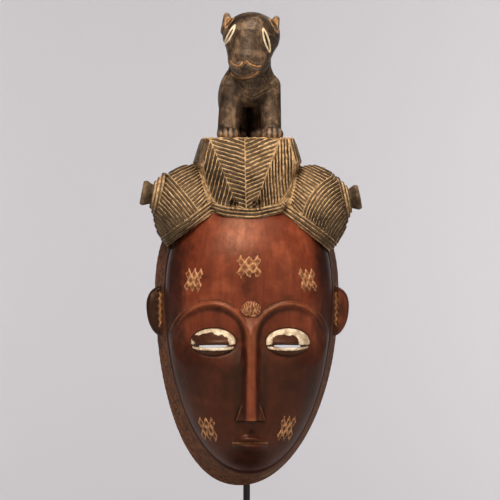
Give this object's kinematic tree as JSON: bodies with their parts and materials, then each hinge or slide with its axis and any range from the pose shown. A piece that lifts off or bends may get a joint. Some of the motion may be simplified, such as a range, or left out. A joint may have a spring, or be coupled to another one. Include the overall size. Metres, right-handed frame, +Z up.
{
  "type": "carved wooden mask on display stand",
  "caption": "Carved wooden face mask with a leopard standing on its plaited coiffure, held up from behind by a steel rod on a square foot.",
  "frame": {"origin": "centre of the foot's underside", "axes": "+Z up, -Y the way the mask looks, +X to the right for someone who faces the mask"},
  "size_m": [0.212, 0.15, 0.5489],
  "materials": {
    "carved_wood": "polished red-brown stain on the face, rubbed dark hair, pale wood in the cuts",
    "blackened_steel": "satin black"
  },
  "bodies": {
    "root": {"mask": "carved_wood", "stand_rod": "blackened_steel", "stand_foot": "blackened_steel"}
  },
  "joints": []
}
